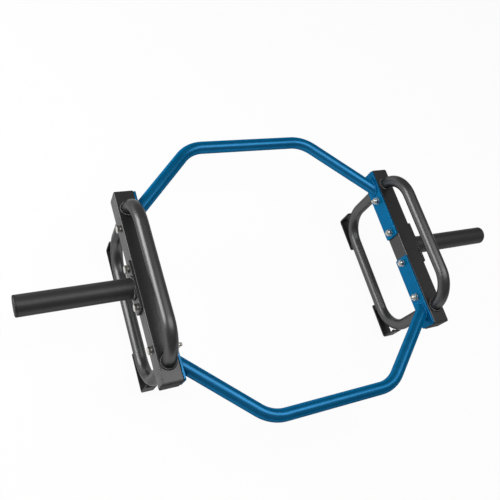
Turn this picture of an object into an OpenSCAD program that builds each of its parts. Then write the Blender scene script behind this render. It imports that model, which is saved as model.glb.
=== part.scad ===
// Hex trap bar: a six-sided lifting frame that a person stands inside.
// Two square side beams carry a raised and a lowered grip and a plate sleeve each.
// A bent tube at the front and one at the rear are bolted between the beams.
// +X runs along the sleeves to the right, +Y to the rear, and Z = 0 is the floor.

/* [Side beams] */
// Outer width and height of the square beam
beam_size = 50; // [46:1:56]
// Wall of the beam
beam_wall = 3; // [2:0.5:5]
// Outer corner radius of the beam
beam_corner = 3; // [1:0.5:5]
// Length of each beam, front to rear
beam_len = 480; // [480:1:540]
// Clear width between the two beams
inner_width = 731; // [660:1:800]

/* [Beam plugs] */
// Thickness of the plug's lip, outside the beam
beam_plug_lip = 6; // [3:0.5:8]
// Depth of the plug inside the beam
beam_plug_depth = 14; // [8:1:20]
// Wall of the hollow plug
beam_plug_wall = 2.5; // [1.5:0.5:4]

/* [Grips] */
// Outer diameter of the grip tubes
grip_d = 32.5; // [28:0.5:34]
// Wall of the grip tubes
grip_wall = 2; // [1.5:0.5:4]
// Bend radius of the grips at the tube's middle
grip_bend = 79; // [55:1:84]
// Distance between the two ends of a grip, middle to middle
grip_spacing = 390; // [360:1:420]
// Height of the raised grip above the beam's middle
raised_rise = 98.5; // [92:0.5:130]
// Depth of the lowered grip below the beam's middle
lower_drop = 202.5; // [160:0.5:230]

/* [Feet] */
// Width of the foot plates
foot_w = 31; // [26:1:40]
// Thickness of the foot plates
foot_t = 5; // [3:0.5:8]
// Distance of a foot's upright inwards from the grip's outer side
foot_inset = 6.25; // [3:0.25:10]
// Length of a foot that lies under the grip's straight stretch
foot_overlap = 18; // [12:1:40]
// Outer bend radius of the foot plates
foot_bend = 8; // [6:0.5:12]

/* [Frame tubes] */
// Outer diameter of the frame tubes
frame_d = 33; // [28:0.5:36]
// Wall of the frame tubes
frame_wall = 2.5; // [1.5:0.5:4]
// Bend radius of the frame tubes at the tube's middle
frame_bend = 94.5; // [60:0.5:120]
// Distance from the middle of the bar to the front or rear tube
frame_reach = 371.5; // [340:0.5:420]
// Distance from the middle of the bar to the corner of a frame tube
frame_corner = 177; // [140:1:210]
// Distance from the middle of a beam to the end of a frame tube
frame_joint = 198; // [196:1:212]

/* [Brackets] */
// Height of the bracket plates
bracket_h = 50; // [40:1:50]
// Thickness of the bracket plates
bracket_t = 5; // [3:0.5:8]
// Length of the bracket plates
bracket_len = 210; // [208:1:230]
// Distance from the middle of a beam to the bracket's near end
bracket_start = 33.5; // [28:0.5:35]
// Corner radius of the bracket plates
bracket_corner = 5; // [2:0.5:10]

/* [Sleeves] */
// Outer diameter of the plate sleeves
sleeve_d = 50; // [48:0.5:50]
// Wall of the sleeves
sleeve_wall = 4; // [3:0.5:6]
// Depth turned off the sleeve's end under its weld bead
sleeve_seat = 0.6; // [0.4:0.1:1]
// Length of the sleeves, without the plug
sleeve_len = 258.5; // [200:0.5:420]
// Thickness of the lip on the sleeve's plug
sleeve_plug_lip = 5; // [3.5:0.5:8]
// Edge radius of the sleeve's plug
sleeve_plug_round = 3; // [1:0.5:3]
// Depth of the plug inside the sleeve
sleeve_plug_depth = 20; // [10:1:40]
// Wall of the hollow plug in the sleeve
sleeve_plug_wall = 2.5; // [1.5:0.5:4]

/* [Sleeve flanges] */
// Length of the flange plates
flange_len = 124; // [122:1:150]
// Height of the flange plates
flange_h = 50; // [46:1:50]
// Thickness of the flange plates
flange_t = 6; // [4:0.5:10]
// Corner radius of the flange plates
flange_corner = 4; // [2:0.5:8]

/* [Bolts] */
// Thread diameter of the bolts
bolt_d = 10; // [8:1:10]
// Length of the bolts under the head
bolt_len = 77; // [70:1:100]
// Width of the bolt heads and nuts across their flats
hex_flats = 17; // [16:0.5:19]
// Height of the bolt heads
head_h = 6.4; // [5:0.1:8]
// Height of the lock nuts, with their collar
nut_h = 10; // [8:0.1:12]
// Height of the lock nuts' collar
collar_h = 2.6; // [2:0.1:4]
// Outer diameter of the lock nuts' collar
collar_d = 15.2; // [13:0.1:16]
// Outer diameter of the washers
washer_d = 20; // [19:0.5:24]
// Thickness of the washers
washer_t = 2; // [1:0.5:3]
// Distance from the middle of a beam to its two near bolts
near_bolt = 49; // [47:0.5:50]
// Distance from the middle of a beam to its two far bolts
far_bolt = 155; // [140:0.5:156]

/* [Welds] */
// Leg of the weld beads round the grips
grip_weld = 4.5; // [2:0.5:5]
// Leg of the weld beads round the sleeves
sleeve_weld = 5; // [2:0.5:6]
// Leg of the weld beads round the frame tubes
frame_weld = 3.5; // [2:0.5:4]
// Leg of the weld beads on the feet
foot_weld = 3; // [2:0.5:4]

/* [Clearances] */
// Added to the bolt diameter for the holes in the steel
hole_clearance = 1; // [0.4:0.1:1.5]
// Added to the bolt diameter for the bores of washers and nuts
thread_clearance = 0.3; // [0.2:0.1:0.6]
// Gap on each side of a plug inside its tube
plug_clearance = 0.25; // [0.1:0.05:0.5]
// Gap between a weld bead and the round tube that it joins
weld_clearance = 0.1; // [0.05:0.05:0.3]

/* [Hidden] */

$fn = 96;

frame_blue = [0.02, 0.36, 0.6];
charcoal = [0.24, 0.24, 0.25];
sleeve_black = [0.18, 0.18, 0.19];
plug_black = [0.08, 0.08, 0.08];
zinc = [0.78, 0.78, 0.76];

grip_r = grip_d / 2;
frame_r = frame_d / 2;
sleeve_r = sleeve_d / 2;

// Height of the beams' middle, on which the sleeves and frame tubes lie
axis_z = foot_t + grip_r + lower_drop;
beam_in = inner_width / 2;
beam_mid = beam_in + beam_size / 2;
beam_out = beam_in + beam_size;
bracket_in = beam_in - bracket_t;
flange_out = beam_out + flange_t;
bracket_mid = bracket_start + bracket_len / 2;

grip_half = grip_spacing / 2;
// Middle of the lowered grip's bend
bend_y = grip_half - grip_bend;
bend_z = axis_z - lower_drop + grip_bend;
// How far the raised grip's bend leans inwards at the foot and at the top of its weld bead
bead_foot_lean = raised_lean(beam_size / 2);
bead_top_lean = raised_lean(beam_size / 2 + grip_weld);
foot_face = grip_half + grip_r - foot_inset;
foot_end = bend_y - foot_overlap;
// Height at which the inner face of a foot's upright meets the grip's bend
foot_contact_y = foot_face - foot_t - bend_y;
foot_top = bend_z - sqrt(pow(grip_bend + grip_r, 2) - pow(foot_contact_y, 2));

// Angle of a frame tube's slanted stretch from the X axis
slant = atan2(frame_reach - frame_joint, bracket_in - frame_corner);
frame_tangent = frame_bend * tan(slant / 2);
slant_run = norm([bracket_in - frame_corner, frame_reach - frame_joint]) - frame_tangent;
frame_straight = frame_corner - frame_tangent;

// Thinning of the tubes in their bends, and the angle by which a bend laps into the straight tube
bend_slim = 0.02;
bend_lap = 0.1;

// Cutting bodies reach this far past what they cut
over = 1;
hex_chamfer = 1;
thread_chamfer = 1.2;

// How far the raised grip's bend leans inwards at a height above the beams' middle
function raised_lean(height) =
    grip_bend - sqrt(pow(grip_bend, 2) - pow(max(0, height - raised_rise + grip_bend), 2));

// Everything is drawn for the right-hand side and mirrored for the left
module on_left() {
    mirror([1, 0, 0]) children();
}

// Everything at one end is drawn for the rear and mirrored for the front
module on_front() {
    mirror([0, 1, 0]) children();
}

module at_both_ends() {
    children();
    mirror([0, 1, 0]) children();
}

// A rectangle with rounded corners, about the origin
module rounded_rect(w, h, r) {
    square([w, h - 2 * r], center = true);
    square([w - 2 * r, h], center = true);
    for (x = [-1, 1], y = [-1, 1]) {
        translate([x * (w / 2 - r), y * (h / 2 - r)]) circle(r = r);
    }
}

// Turns an outline drawn in X and Y to face along X, its width along Y and its height along Z
module facing_x(x) {
    translate([x, 0, axis_z]) rotate([90, 0, 90]) children();
}

// A plain cylinder along +X whose start is at the origin
module bar(length, r) {
    rotate([90, 0, 90]) cylinder(r = r, h = length);
}

// A plain cylinder along X from x1 to x2, on the line through y and the beams' middle
module bar_x(x1, x2, y, r) {
    translate([x1, y, axis_z]) bar(x2 - x1, r);
}

// Bent stretch of a solid bar about the origin, turning clockwise from the Y axis
// It is a hair slimmer than the straight stretches and reaches a little way into them
module bar_bend(angle, bend_r, r) {
    rotate([0, 0, 90 - angle - bend_lap]) rotate_extrude(angle = angle + 2 * bend_lap)
        translate([bend_r, 0]) circle(r = r - bend_slim);
}

// Solid bar bent to a U in the Y-Z plane: its ends at z = 0, its middle at z = top
module u_bar(top, r) {
    leg = top - grip_bend;
    at_both_ends() translate([0, bend_y, leg]) rotate([90, 0, 90]) {
        bar_bend(90, grip_bend, r);
        rotate([0, 0, -90]) translate([0, grip_bend, 0]) bar(leg, r);
    }
    translate([0, -bend_y, leg]) rotate([90, 0, 90]) translate([0, grip_bend, 0]) bar(2 * bend_y, r);
}

// Raised grip before it is trimmed to the beam
module raised_bar(r) {
    translate([beam_mid, 0, axis_z]) u_bar(raised_rise, r);
}

// Lowered grip before it is trimmed to the beam
module lower_bar(r) {
    translate([beam_mid, 0, axis_z]) mirror([0, 0, 1]) u_bar(lower_drop, r);
}

// The beam's outer block, which trims what is welded to it
module beam_block() {
    translate([beam_in, -beam_len / 2, axis_z - beam_size / 2]) cube([beam_size, beam_len, beam_size]);
}

module side_beam_right() {
    bore = beam_size - 2 * beam_wall;
    color(charcoal) difference() {
        translate([beam_mid, 0, axis_z]) rotate([90, 0, 0]) linear_extrude(beam_len, center = true)
            rounded_rect(beam_size, beam_size, beam_corner);
        translate([beam_mid, 0, axis_z]) cube([bore, beam_len + 2 * over, bore], center = true);
        for (y = [-far_bolt, -near_bolt, near_bolt, far_bolt]) {
            bar_x(beam_in - over, beam_out + over, y, (bolt_d + hole_clearance) / 2);
        }
    }
}

module side_beam_left() {
    on_left() side_beam_right();
}

// Square plug with a rounded lip that closes the end of a beam
module beam_plug_right_rear() {
    outer = beam_size - 2 * beam_wall - 2 * plug_clearance;
    inner = outer - 2 * beam_plug_wall;
    color(plug_black) translate([beam_mid, beam_len / 2, axis_z]) rotate([-90, 0, 0]) {
        linear_extrude(beam_plug_lip) rounded_rect(beam_size, beam_size, beam_corner);
        translate([0, 0, -beam_plug_depth]) difference() {
            translate([-outer / 2, -outer / 2, 0]) cube([outer, outer, beam_plug_depth]);
            translate([-inner / 2, -inner / 2, -over]) cube([inner, inner, beam_plug_depth + over]);
        }
    }
}

module beam_plug_right_front() {
    on_front() beam_plug_right_rear();
}

module beam_plug_left_rear() {
    on_left() beam_plug_right_rear();
}

module beam_plug_left_front() {
    on_left() beam_plug_right_front();
}

module raised_grip_right() {
    color(charcoal) difference() {
        raised_bar(grip_r);
        raised_bar(grip_r - grip_wall);
        beam_block();
    }
}

module raised_grip_left() {
    on_left() raised_grip_right();
}

module lower_grip_right() {
    color(charcoal) difference() {
        lower_bar(grip_r);
        lower_bar(grip_r - grip_wall);
        beam_block();
    }
}

module lower_grip_left() {
    on_left() lower_grip_right();
}

// Outline of a foot seen along X: a flat bar bent square round its lower outer corner
module foot_outline() {
    bend_in = foot_bend - foot_t;
    translate([foot_end, 0]) square([foot_face - foot_bend - foot_end, foot_t]);
    translate([foot_face - foot_t, foot_bend]) square([foot_t, foot_top - foot_bend]);
    translate([foot_face - foot_bend, foot_bend]) intersection() {
        difference() {
            circle(r = foot_bend);
            circle(r = bend_in);
        }
        translate([0, -foot_bend]) square(foot_bend);
    }
}

module foot_right_rear() {
    color(charcoal) translate([beam_mid - foot_w / 2, 0, 0]) rotate([90, 0, 90])
        linear_extrude(foot_w) foot_outline();
}

module foot_right_front() {
    on_front() foot_right_rear();
}

module foot_left_rear() {
    on_left() foot_right_rear();
}

module foot_left_front() {
    on_left() foot_right_front();
}

module sleeve_right() {
    sleeve_end = flange_out + sleeve_len;
    color(sleeve_black) difference() {
        union() {
            bar_x(flange_out, sleeve_end, 0, sleeve_r - sleeve_seat);
            bar_x(flange_out + sleeve_weld + 2 * weld_clearance, sleeve_end, 0, sleeve_r);
        }
        bar_x(flange_out - over, sleeve_end + over, 0, sleeve_r - sleeve_wall);
    }
}

module sleeve_left() {
    on_left() sleeve_right();
}

module sleeve_flange_right() {
    color(charcoal) difference() {
        facing_x(beam_out) linear_extrude(flange_t) rounded_rect(flange_len, flange_h, flange_corner);
        for (y = [-near_bolt, near_bolt]) {
            bar_x(beam_out - over, flange_out + over, y, (bolt_d + hole_clearance) / 2);
        }
    }
}

module sleeve_flange_left() {
    on_left() sleeve_flange_right();
}

// Round plug with a rounded lip that closes the outer end of a sleeve
module sleeve_plug_right() {
    stem_r = sleeve_r - sleeve_wall - plug_clearance;
    color(plug_black) translate([flange_out + sleeve_len, 0, axis_z]) rotate([0, 90, 0]) {
        rotate_extrude() {
            square([sleeve_r, sleeve_plug_lip - sleeve_plug_round]);
            square([sleeve_r - sleeve_plug_round, sleeve_plug_lip]);
            translate([sleeve_r - sleeve_plug_round, sleeve_plug_lip - sleeve_plug_round])
                intersection() {
                    circle(r = sleeve_plug_round);
                    square(sleeve_plug_round);
                }
            translate([stem_r - sleeve_plug_wall, -sleeve_plug_depth])
                square([sleeve_plug_wall, sleeve_plug_depth]);
        }
    }
}

module sleeve_plug_left() {
    on_left() sleeve_plug_right();
}

// Bend and slanted stretch of a frame tube's solid bar, from the straight stretch to past the bracket
module frame_arm(r) {
    translate([frame_straight, frame_reach - frame_bend, axis_z]) {
        bar_bend(slant, frame_bend, r);
        rotate([0, 0, -slant]) translate([0, frame_bend, 0]) bar(slant_run + 2 * frame_r, r);
    }
}

// Solid bar of a whole frame tube, reaching past the brackets at both ends
module frame_bar(r) {
    bar_x(-frame_straight, frame_straight, frame_reach, r);
    frame_arm(r);
    on_left() frame_arm(r);
}

// The space between the brackets, which trims the frame tubes
module frame_space(reach) {
    translate([0, frame_reach, axis_z])
        cube([2 * reach, 2 * frame_reach, 2 * frame_d], center = true);
}

module frame_tube_rear() {
    color(frame_blue) difference() {
        intersection() {
            frame_bar(frame_r);
            frame_space(bracket_in);
        }
        frame_bar(frame_r - frame_wall);
    }
}

module frame_tube_front() {
    on_front() frame_tube_rear();
}

module bracket_right_rear() {
    color(frame_blue) difference() {
        facing_x(bracket_in) translate([bracket_mid, 0]) linear_extrude(bracket_t)
            rounded_rect(bracket_len, bracket_h, bracket_corner);
        for (y = [near_bolt, far_bolt]) {
            bar_x(bracket_in - over, beam_in + over, y, (bolt_d + hole_clearance) / 2);
        }
    }
}

module bracket_right_front() {
    on_front() bracket_right_rear();
}

module bracket_left_rear() {
    on_left() bracket_right_rear();
}

module bracket_left_front() {
    on_left() bracket_right_front();
}

// Outer face that a bolt's washer lies on: the flange near the sleeve, the beam elsewhere
function bolt_seat(y) = abs(y) < flange_len / 2 ? flange_out : beam_out;

// A hexagon body of the given height along X, with its corners chamfered at both ends
module hex_body(height, chamfered_ends) {
    corner_r = hex_flats / 2 / cos(30);
    intersection() {
        rotate([0, 90, 0]) cylinder(r = corner_r, h = height, $fn = 6);
        rotate([0, 90, 0]) union() {
            translate([0, 0, height - hex_chamfer])
                cylinder(r1 = corner_r, r2 = corner_r - 2 * hex_chamfer, h = hex_chamfer);
            translate([0, 0, hex_chamfer * (chamfered_ends - 1)])
                cylinder(r = corner_r, h = height - hex_chamfer * chamfered_ends);
            if (chamfered_ends == 2) {
                cylinder(r1 = corner_r - 2 * hex_chamfer, r2 = corner_r, h = hex_chamfer);
            }
        }
    }
}

module bolt(y) {
    head = bolt_seat(y) + washer_t;
    translate([head, y, axis_z]) {
        hex_body(head_h, 1);
        rotate([0, -90, 0]) {
            cylinder(d = bolt_d, h = bolt_len - thread_chamfer);
            translate([0, 0, bolt_len - thread_chamfer])
                cylinder(d1 = bolt_d, d2 = bolt_d - 2 * thread_chamfer, h = thread_chamfer);
        }
    }
}

module bolts_right() {
    color(zinc) for (y = [-far_bolt, -near_bolt, near_bolt, far_bolt]) {
        bolt(y);
    }
}

module bolts_left() {
    on_left() bolts_right();
}

module washer(x, y) {
    difference() {
        bar_x(x, x + washer_t, y, washer_d / 2);
        bar_x(x - over, x + washer_t + over, y, (bolt_d + thread_clearance) / 2);
    }
}

module outer_washers_right() {
    color(zinc) for (y = [-far_bolt, -near_bolt, near_bolt, far_bolt]) {
        washer(bolt_seat(y), y);
    }
}

module outer_washers_left() {
    on_left() outer_washers_right();
}

module inner_washers_right() {
    color(zinc) for (y = [-far_bolt, -near_bolt, near_bolt, far_bolt]) {
        washer(bracket_in - washer_t, y);
    }
}

module inner_washers_left() {
    on_left() inner_washers_right();
}

module nuts_right() {
    seat = bracket_in - washer_t;
    color(zinc) for (y = [-far_bolt, -near_bolt, near_bolt, far_bolt]) {
        difference() {
            union() {
                translate([seat - nut_h + collar_h, y, axis_z]) hex_body(nut_h - collar_h, 2);
                bar_x(seat - nut_h, seat - nut_h / 2, y, collar_d / 2);
            }
            bar_x(seat - nut_h - over, seat + over, y, (bolt_d + thread_clearance) / 2);
        }
    }
}

module nuts_left() {
    on_left() nuts_right();
}

// Ring of weld metal round the end of a grip, standing on z = 0
module grip_bead(inner_r) {
    rotate_extrude() polygon([[inner_r, 0], [inner_r + grip_weld, 0], [inner_r, grip_weld]]);
}

module raised_grip_welds_right() {
    lean = (bead_foot_lean + bead_top_lean) / 2;
    slack = (bead_top_lean - bead_foot_lean) / 2;
    color(charcoal) at_both_ends()
        translate([beam_mid, grip_half - lean, axis_z + beam_size / 2])
            grip_bead(grip_r + weld_clearance + slack);
}

module raised_grip_welds_left() {
    on_left() raised_grip_welds_right();
}

module lower_grip_welds_right() {
    color(charcoal) at_both_ends() translate([beam_mid, grip_half, axis_z - beam_size / 2])
        mirror([0, 0, 1]) grip_bead(grip_r + weld_clearance);
}

module lower_grip_welds_left() {
    on_left() lower_grip_welds_right();
}

// Weld metal in the narrow wedges between a foot and the grip that it protects
module foot_welds_right() {
    wedge = sqrt(pow(grip_r, 2) - pow(grip_r - foot_weld, 2));
    color(charcoal) difference() {
        at_both_ends() {
            translate([beam_mid - wedge, foot_end, foot_t]) cube([2 * wedge, foot_overlap, foot_weld]);
            translate([beam_mid - wedge, foot_face - foot_t - foot_weld, foot_top - 4 * foot_weld])
                cube([2 * wedge, foot_weld, 4 * foot_weld]);
        }
        lower_bar(grip_r + weld_clearance);
    }
}

module foot_welds_left() {
    on_left() foot_welds_right();
}

// Weld bead round the foot of a sleeve, on the flange plate only
module sleeve_weld_right() {
    seat_r = sleeve_r - sleeve_seat;
    color(charcoal) intersection() {
        difference() {
            translate([flange_out, 0, axis_z]) rotate([0, 90, 0])
                cylinder(r1 = sleeve_r + sleeve_weld, r2 = sleeve_r, h = sleeve_weld);
            bar_x(flange_out - over, flange_out + sleeve_weld + over, 0, seat_r + weld_clearance);
        }
        translate([flange_out, -flange_len / 2, axis_z - flange_h / 2])
            cube([sleeve_weld, flange_len, flange_h]);
    }
}

module sleeve_weld_left() {
    on_left() sleeve_weld_right();
}

// Weld bead round both ends of a frame tube, on the brackets
module frame_welds_rear() {
    color(frame_blue) difference() {
        intersection() {
            frame_bar(frame_r + frame_weld);
            frame_space(bracket_in);
        }
        frame_bar(frame_r + weld_clearance);
        frame_space(bracket_in - frame_weld);
    }
}

module frame_welds_front() {
    on_front() frame_welds_rear();
}

side_beam_left();
side_beam_right();
beam_plug_left_front();
beam_plug_left_rear();
beam_plug_right_front();
beam_plug_right_rear();
raised_grip_left();
raised_grip_right();
lower_grip_left();
lower_grip_right();
foot_left_front();
foot_left_rear();
foot_right_front();
foot_right_rear();
sleeve_left();
sleeve_right();
sleeve_flange_left();
sleeve_flange_right();
sleeve_plug_left();
sleeve_plug_right();
frame_tube_front();
frame_tube_rear();
bracket_left_front();
bracket_left_rear();
bracket_right_front();
bracket_right_rear();
bolts_left();
bolts_right();
outer_washers_left();
outer_washers_right();
inner_washers_left();
inner_washers_right();
nuts_left();
nuts_right();
raised_grip_welds_left();
raised_grip_welds_right();
lower_grip_welds_left();
lower_grip_welds_right();
foot_welds_left();
foot_welds_right();
sleeve_weld_left();
sleeve_weld_right();
frame_welds_front();
frame_welds_rear();
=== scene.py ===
"""The looks of a hex trap bar, dressed round its packed construction. All lengths are in metres."""

import math

import bmesh
import bpy
from bpy.props import FloatProperty, FloatVectorProperty, PointerProperty
from bpy.types import Operator, Panel, PropertyGroup
from mathutils import Matrix, Vector


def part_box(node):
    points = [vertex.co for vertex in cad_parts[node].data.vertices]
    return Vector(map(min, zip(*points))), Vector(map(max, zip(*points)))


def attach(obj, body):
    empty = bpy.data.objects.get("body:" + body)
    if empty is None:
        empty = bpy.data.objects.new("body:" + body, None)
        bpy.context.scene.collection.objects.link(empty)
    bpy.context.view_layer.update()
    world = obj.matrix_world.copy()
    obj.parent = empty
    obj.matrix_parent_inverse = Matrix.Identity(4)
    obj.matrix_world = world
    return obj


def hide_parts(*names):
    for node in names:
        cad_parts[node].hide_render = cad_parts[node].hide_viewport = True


bl_info = {
    "name": "Hex Trap Bar",
    "version": (1, 0, 0),
    "blender": (4, 5, 0),
    "location": "3D View > Sidebar > Trap Bar",
    "description": "Builds the finished pieces of a hex trap bar on its packed construction",
    "category": "Object",
}

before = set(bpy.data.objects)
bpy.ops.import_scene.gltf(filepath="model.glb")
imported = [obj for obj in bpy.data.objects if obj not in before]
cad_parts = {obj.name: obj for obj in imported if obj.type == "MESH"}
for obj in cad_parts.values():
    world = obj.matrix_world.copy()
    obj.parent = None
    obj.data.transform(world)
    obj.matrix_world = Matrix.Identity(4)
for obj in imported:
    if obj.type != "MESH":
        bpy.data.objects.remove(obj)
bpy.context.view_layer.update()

# The copies of a piece, and how the one on the right or at the rear is turned or mirrored for them
SIDES = (("right", (1, 1, 1)), ("left", (-1, -1, 1)))
ENDS = (("rear", (1, 1, 1)), ("front", (-1, -1, 1)))
QUARTERS = (("right_rear", (1, 1, 1)), ("right_front", (1, -1, 1)),
            ("left_rear", (-1, 1, 1)), ("left_front", (-1, -1, 1)))

# Tolerances for lengths, and for directions as the cosine of the angle between them
MERGE = 1e-6
NEAR = 0.0001
ALONG = 0.999
FACING = 0.99
SHARP = math.radians(32)

# The clear film over coats and plastic, and where it starts to fade at a glancing angle
FILM_IOR = 1.7
FADE = 0.62
FADE_SPAN = 0.32

# Fasteners: depth of the thread as a share of its pitch, the bolts' chamfered tip and the flat
# crown of heads and nuts as a share of their flats
THREAD_DEPTH = 0.61
TIP = 0.0012
CROWN = 0.97

# The camera as fitted to the photograph: in pixels of its square frame, and in metres
PHOTO = 500
FOCAL = 602.91
MIDDLE_X = 247.45
MIDDLE_Y = 285.41
SENSOR = 36
EYE = Vector((-0.78083, -0.48255, 1.52482))
EYE_RIGHT = Vector((0.89265, -0.28963, 0.34538))
EYE_DOWN = Vector((-0.14727, -0.9116, -0.3838))

# The two lamps, as seen in the highlights of the tubes: where they hang, and their sides
SIDE_LAMP = Vector((-2.2, 0.8, 1.0))
SIDE_LAMP_SIZE = (1.5, 1.4)
TOP_LAMP = Vector((0.25, -0.12, 2.2))
TOP_LAMP_SIZE = (2.6, 1.1)


def corners(node):
    """Lowest and highest corner of a node, to a hundredth of a millimetre."""
    low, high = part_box(node)
    return Vector(round(v, 5) for v in low), Vector(round(v, 5) for v in high)


beam_low, beam_high = corners("side_beam_right")
BEAM_IN = beam_low.x
BEAM_OUT = beam_high.x
BEAM_MID = (BEAM_IN + BEAM_OUT) / 2
BEAM_TOP = beam_high.z
BEAM_UNDER = beam_low.z
AXIS_Z = (BEAM_TOP + BEAM_UNDER) / 2

lower_low, lower_high = corners("lower_grip_right")
raised_low, raised_high = corners("raised_grip_right")
GRIP_R = (raised_high.x - raised_low.x) / 2
GRIP_HALF = lower_high.y - GRIP_R
LOWER_DROP = AXIS_Z - lower_low.z - GRIP_R
RAISED_RISE = raised_high.z - GRIP_R - AXIS_Z

frame_low, frame_high = corners("frame_tube_rear")
FRAME_R = (frame_high.z - frame_low.z) / 2
FRAME_REACH = frame_high.y - FRAME_R
bracket_low, bracket_high = corners("bracket_right_rear")
BRACKET_IN = bracket_low.x

flange_low, flange_high = corners("sleeve_flange_right")
FLANGE_OUT = flange_high.x
FLANGE_HALF = flange_high.y
sleeve_high = corners("sleeve_right")[1]
SLEEVE_R = sleeve_high.y
SLEEVE_END = sleeve_high.x

foot_low, foot_high = corners("foot_right_rear")


def length(name, description, default):
    """A size in metres."""
    return FloatProperty(name=name, description=description, default=default, min=0,
                         precision=4, subtype="DISTANCE", unit="LENGTH")


def share(name, description, default):
    """A plain value from 0 to 1."""
    return FloatProperty(name=name, description=description, default=default, min=0, max=1,
                         subtype="FACTOR")


def power(name, description, default):
    """A lamp's power in watts."""
    return FloatProperty(name=name, description=description, default=default, min=0,
                         unit="POWER")


def colour(name, description, default):
    """A linear colour."""
    return FloatVectorProperty(name=name, description=description, default=default, size=3,
                               min=0, max=1, subtype="COLOR")


class BeamSizes(PropertyGroup):
    """Square tubes of the sides and the plugs in their ends"""
    wall: length("Wall", "Wall of the square tube", 0.003)
    corner: length("Corner", "Outer corner radius of the square tube", 0.003)
    plug_stem: length("Plug stem", "Depth of the plug inside the tube", 0.014)
    plug_gap: length("Plug gap", "Gap round the plug's stem", 0.00025)
    plug_wall: length("Plug wall", "Wall of the plug's hollow stem", 0.0025)
    plug_edge: length("Plug edge", "Rounding round the plug's outer face", 0.0032)
    plug_crown: length("Plug crown", "Rise of the plug's face in its middle", 0.0006)


class GripSizes(PropertyGroup):
    """Bent grip tubes and the feet under them"""
    wall: length("Wall", "Wall of the grip tubes", 0.002)
    bend: length("Bend radius", "Bend radius at the tube's middle", 0.079)
    foot_thickness: length("Foot thickness", "Thickness of the foot plates", 0.005)
    foot_bend: length("Foot bend", "Outer bend radius of the foot plates", 0.008)
    foot_corner: length("Foot corner", "Corner radius at the ends of the foot plates", 0.004)


class TubeFrameSizes(PropertyGroup):
    """Bent tubes at the front and the rear"""
    wall: length("Wall", "Wall of the frame tubes", 0.0025)
    bend: length("Bend radius", "Bend radius at the tube's middle", 0.0945)
    corner: length("Corner", "From the middle of the bar to a tube's corner", 0.177)
    joint: length("Joint", "From the middle of a beam to the end of a tube", 0.198)


class PlateSizes(PropertyGroup):
    """Flat bars that are bolted to the beams"""
    bracket_corner: length("Bracket corner", "Corner radius of the brackets", 0.005)
    flange_corner: length("Flange corner", "Corner radius of the sleeve flanges", 0.004)
    edge: length("Edge", "Rounding along the plates' edges", 0.0007)


class SleeveSizes(PropertyGroup):
    """Sleeves for the weight plates and their plugs"""
    wall: length("Wall", "Wall of the sleeves", 0.004)
    edge: length("Edge", "Rounding of the sleeve's outer rim", 0.0008)
    plug_lip: length("Plug lip", "Thickness of the plug's lip", 0.005)
    plug_round: length("Plug rounding", "Rounding of the plug's outer edge", 0.0028)
    plug_groove: length("Plug groove", "Depth of the seam between plug and sleeve", 0.0006)
    plug_wall: length("Plug wall", "Wall of the plug's hollow stem", 0.0025)
    plug_gap: length("Plug gap", "Gap round the plug's stem", 0.00025)


class FastenerSizes(PropertyGroup):
    """Bolts, nuts and washers"""
    bolt_d: length("Thread", "Thread diameter of the bolts", 0.01)
    pitch: length("Pitch", "Pitch of the thread", 0.0015)
    bolt_length: length("Bolt length", "Length under the head", 0.077)
    threaded: length("Threaded length", "Length of the thread from the tip", 0.026)
    flats: length("Flats", "Width of heads and nuts across their flats", 0.017)
    head: length("Head", "Height of the bolt heads", 0.0064)
    nut: length("Nut", "Height of the lock nuts, with their collar", 0.01)
    collar: length("Collar", "Height of the lock nuts' collar", 0.0026)
    collar_d: length("Collar diameter", "Outer diameter of the lock nuts' collar", 0.0152)
    washer_d: length("Washer", "Outer diameter of the washers", 0.02)
    washer_t: length("Washer thickness", "Thickness of the washers", 0.002)
    hole_gap: length("Hole clearance", "Added to the thread for the holes in the steel", 0.001)
    bore_gap: length("Bore clearance", "Added to the thread for the bores of washers", 0.0003)
    near: length("Near bolts", "From the middle of a beam to its two near bolts", 0.049)
    far: length("Far bolts", "From the middle of a beam to its two far bolts", 0.155)


class WeldSizes(PropertyGroup):
    """Weld beads with their ripples"""
    grip: length("Grip bead", "Leg of the beads round the grips", 0.0045)
    sleeve: length("Sleeve bead", "Leg of the beads round the sleeves", 0.005)
    tube: length("Frame bead", "Leg of the beads round the frame tubes", 0.0035)
    foot: length("Foot bead", "Leg of the beads on the feet", 0.003)
    ripple: length("Ripple", "Length of one ripple along a bead", 0.0026)
    depth: share("Ripple depth", "Depth of the ripples as a share of the bead", 0.2)


class Finishes(PropertyGroup):
    """Colours and surface character of the finishes"""
    beam: colour("Beam coat", "Powder coat of beams and flanges", (0.019, 0.019, 0.0195))
    grip: colour("Grip coat", "Powder coat of the grips", (0.015, 0.015, 0.0155))
    foot: colour("Foot coat", "Coat of the foot plates", (0.01, 0.01, 0.0105))
    sleeve: colour("Sleeve coat", "Coat of the plate sleeves", (0.018, 0.018, 0.0185))
    paint: colour("Frame paint", "Paint of frame tubes and brackets", (0.0, 0.13, 0.3))
    zinc: colour("Zinc", "Plating of bolts, nuts and washers", (0.55, 0.545, 0.53))
    plug: colour("Plug plastic", "Moulded plugs", (0.018, 0.018, 0.018))
    grain: length("Grain", "Size of the powder coat's orange peel", 0.0011)


class StageLight(PropertyGroup):
    """Floor, lamps and surroundings"""
    ambient: share("Ambient", "Strength of the surroundings", 0.2)
    side: power("Side", "Power of the standing lamp on the left", 48.0)
    top: power("Top", "Power of the lamp overhead", 27.0)
    whiteness: share("Whiteness", "How far the floor is plain white to the camera", 0.94)
    gleam: share("Gleam", "How far coats and metal show the white of the surroundings", 0.1)


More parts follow.
